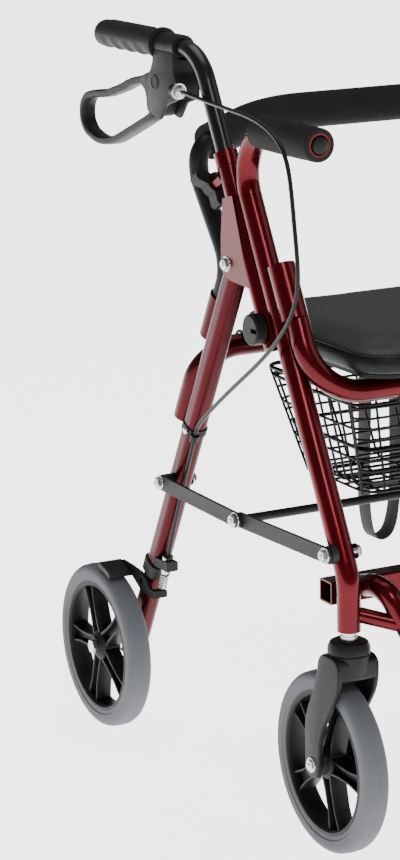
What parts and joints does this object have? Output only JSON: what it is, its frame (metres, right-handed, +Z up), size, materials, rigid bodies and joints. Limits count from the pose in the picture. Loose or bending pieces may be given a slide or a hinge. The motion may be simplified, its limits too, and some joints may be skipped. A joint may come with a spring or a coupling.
{
  "type": "rollator walker",
  "caption": "Folding four-wheeled walking frame with padded seat, wire basket, back bar, armrests and loop-lever hand brakes.",
  "frame": {"origin": "middle of the plan, on the floor under the tyres", "axes": "+Z up, -Y towards the casters, +X to the left-hand side"},
  "size_m": [0.636, 0.687, 0.855],
  "materials": {
    "ruby_paint": "metallic ruby, glossy",
    "dark_ruby_paint": "metallic dark ruby, glossy",
    "black_paint": "gloss black",
    "black_plastic": "satin black",
    "foam": "closed-cell foam, matt",
    "grip_rubber": "soft matt",
    "zinc": "bright zinc",
    "brass": "plain",
    "grey_tyre": "blue-grey, matt",
    "vinyl": "padded vinyl, satin",
    "wire": "black coated wire",
    "webbing": "woven webbing"
  },
  "bodies": {
    "front_frame": {"front_legs": "ruby_paint", "front_seat_bar": "ruby_paint", "front_crossbar": "ruby_paint", "armrest_foams": "foam", "armrest_plugs": "black_plastic", "receiver_collars": "black_plastic", "front_frame_bolts": "zinc", "front_link_spacers": "black_plastic"},
    "rear_frame": {"rear_legs": "dark_ruby_paint", "rear_seat_bar": "ruby_paint", "rear_leg_plugs": "black_plastic", "rear_frame_bolts": "zinc", "rear_leg_clips": "black_plastic", "rear_axles": "zinc", "brake_brackets": "black_plastic", "cable_adjusters": "zinc", "back_tube": "black_paint", "back_foam": "foam", "strap": "webbing", "cable_lower_right": "black_plastic", "cable_lower_left": "black_plastic", "brake_spring_right": "zinc", "brake_spring_left": "zinc"},
    "front_links": {"front_links": "black_paint", "link_rod": "black_paint"},
    "seat": {"seat_cushion": "vinyl", "seat_board": "black_plastic"},
    "basket": {"basket": "wire"},
    "rear_link_right": {"rear_link_right": "black_paint"},
    "caster_right": {"caster_fork_right": "black_plastic", "caster_bolts_right": "zinc"},
    "caster_wheel_right": {"caster_tyre_right": "grey_tyre", "caster_rim_right": "black_plastic"},
    "rear_wheel_right": {"rear_tyre_right": "grey_tyre", "rear_rim_right": "black_plastic"},
    "handle_right": {"handle_tube_right": "black_paint", "handle_grip_right": "grip_rubber", "brake_housing_right": "black_plastic", "cable_upper_right": "black_plastic"},
    "brake_lever_right": {"brake_lever_right": "black_plastic"},
    "brake_arm_right": {"brake_arm_right": "black_plastic"},
    "star_knob_right": {"star_knob_right": "black_plastic"},
    "height_knob_right": {"height_knob_right": "black_plastic"},
    "snap_button_right": {"snap_button_right": "brass"},
    "rear_link_left": {"rear_link_left": "black_paint"},
    "caster_left": {"caster_fork_left": "black_plastic", "caster_bolts_left": "zinc"},
    "caster_wheel_left": {"caster_tyre_left": "grey_tyre", "caster_rim_left": "black_plastic"},
    "rear_wheel_left": {"rear_tyre_left": "grey_tyre", "rear_rim_left": "black_plastic"},
    "handle_left": {"handle_tube_left": "black_paint", "handle_grip_left": "grip_rubber", "brake_housing_left": "black_plastic", "cable_upper_left": "black_plastic"},
    "brake_lever_left": {"brake_lever_left": "black_plastic"},
    "brake_arm_left": {"brake_arm_left": "black_plastic"},
    "star_knob_left": {"star_knob_left": "black_plastic"},
    "height_knob_left": {"height_knob_left": "black_plastic"},
    "snap_button_left": {"snap_button_left": "brass"}
  },
  "joints": [
    {"name": "fold", "type": "hinge", "parent": "front_frame", "child": "rear_frame", "pos_m": [0, -0.048, 0.613], "axis": [-1, 0, 0], "range_deg": [0, 24], "deforming": ["strap", "cable_lower_right", "cable_lower_left"]},
    {"name": "front_link_fold", "type": "hinge", "parent": "front_frame", "child": "front_links", "pos_m": [0, -0.2715, 0.34], "axis": [-1, 0, 0], "range_deg": [0, 54.27]},
    {"name": "basket_tip", "type": "hinge", "parent": "front_frame", "child": "basket", "pos_m": [0, -0.19, 0.478], "axis": [-1, 0, 0], "range_deg": [0, 8.4]},
    {"name": "seat_lift", "type": "hinge", "parent": "front_frame", "child": "seat", "pos_m": [0, -0.208, 0.494], "axis": [1, 0, 0], "range_deg": [0, 80]},
    {"name": "rear_link_fold_right", "type": "hinge", "parent": "rear_frame", "child": "rear_link_right", "pos_m": [-0.29, 0.0995, 0.335], "axis": [1, 0, 0], "range_deg": [0, 63.23]},
    {"name": "caster_swivel_right", "type": "hinge", "parent": "front_frame", "child": "caster_right", "pos_m": [-0.265, -0.2805, 0.25], "axis": [0, 0, 1], "continuous": true},
    {"name": "caster_roll_right", "type": "hinge", "parent": "caster_right", "child": "caster_wheel_right", "pos_m": [-0.265, -0.2435, 0.1], "axis": [1, 0, 0], "continuous": true},
    {"name": "rear_roll_right", "type": "hinge", "parent": "rear_frame", "child": "rear_wheel_right", "pos_m": [-0.298, 0.2435, 0.1], "axis": [1, 0, 0], "continuous": true},
    {"name": "handle_height_right", "type": "slide", "parent": "front_frame", "child": "handle_right", "axis": [0, 0.4772, 0.8788], "range_m": [-0.03, 0.055], "deforming": ["cable_upper_right"]},
    {"name": "brake_squeeze_right", "type": "hinge", "parent": "handle_right", "child": "brake_lever_right", "pos_m": [-0.268, 0.113, 0.795], "axis": [1, 0, 0], "range_deg": [-15, 12]},
    {"name": "brake_shoe_right", "type": "hinge", "parent": "rear_frame", "child": "brake_arm_right", "pos_m": [-0.28, 0.1749, 0.196], "axis": [-1, 0, 0], "range_deg": [0, 2.4], "stiffness_Nm_per_rad": 2, "springref_deg": -11.46, "deforming": ["brake_spring_right"]},
    {"name": "star_knob_turn_right", "type": "hinge", "parent": "front_frame", "child": "star_knob_right", "pos_m": [-0.268, -0.02562, 0.70649], "axis": [0, 0.8788, -0.4772], "continuous": true},
    {"name": "height_knob_turn_right", "type": "hinge", "parent": "front_frame", "child": "height_knob_right", "pos_m": [-0.268, -0.12231, 0.5544], "axis": [1, 0, 0], "continuous": true},
    {"name": "snap_press_right", "type": "slide", "parent": "rear_frame", "child": "snap_button_right", "axis": [0, -0.8819, -0.4714], "range_m": [0, 0.003], "stiffness_N_per_m": 400, "springref_m": -0.002},
    {"name": "rear_link_fold_left", "type": "hinge", "parent": "rear_frame", "child": "rear_link_left", "pos_m": [0.29, 0.0995, 0.335], "axis": [1, 0, 0], "range_deg": [0, 63.23]},
    {"name": "caster_swivel_left", "type": "hinge", "parent": "front_frame", "child": "caster_left", "pos_m": [0.265, -0.2805, 0.25], "axis": [0, 0, 1], "continuous": true},
    {"name": "caster_roll_left", "type": "hinge", "parent": "caster_left", "child": "caster_wheel_left", "pos_m": [0.265, -0.2435, 0.1], "axis": [1, 0, 0], "continuous": true},
    {"name": "rear_roll_left", "type": "hinge", "parent": "rear_frame", "child": "rear_wheel_left", "pos_m": [0.298, 0.2435, 0.1], "axis": [1, 0, 0], "continuous": true},
    {"name": "handle_height_left", "type": "slide", "parent": "front_frame", "child": "handle_left", "axis": [0, 0.4772, 0.8788], "range_m": [-0.03, 0.055], "deforming": ["cable_upper_left"]},
    {"name": "brake_squeeze_left", "type": "hinge", "parent": "handle_left", "child": "brake_lever_left", "pos_m": [0.268, 0.113, 0.795], "axis": [1, 0, 0], "range_deg": [-15, 12]},
    {"name": "brake_shoe_left", "type": "hinge", "parent": "rear_frame", "child": "brake_arm_left", "pos_m": [0.28, 0.1749, 0.196], "axis": [-1, 0, 0], "range_deg": [0, 2.4], "stiffness_Nm_per_rad": 2, "springref_deg": -11.46, "deforming": ["brake_spring_left"]},
    {"name": "star_knob_turn_left", "type": "hinge", "parent": "front_frame", "child": "star_knob_left", "pos_m": [0.268, -0.02562, 0.70649], "axis": [0, 0.8788, -0.4772], "continuous": true},
    {"name": "height_knob_turn_left", "type": "hinge", "parent": "front_frame", "child": "height_knob_left", "pos_m": [0.268, -0.12231, 0.5544], "axis": [1, 0, 0], "continuous": true},
    {"name": "snap_press_left", "type": "slide", "parent": "rear_frame", "child": "snap_button_left", "axis": [0, -0.8819, -0.4714], "range_m": [0, 0.003], "stiffness_N_per_m": 400, "springref_m": -0.002}
  ],
  "couplings": [
    {"joint": "front_link_fold", "follows": "fold", "ratio": 2.2608},
    {"joint": "basket_tip", "follows": "fold", "ratio": 0.35},
    {"joint": "rear_link_fold_right", "follows": "fold", "ratio": 2.6342},
    {"joint": "rear_link_fold_left", "follows": "fold", "ratio": 2.6342}
  ]
}
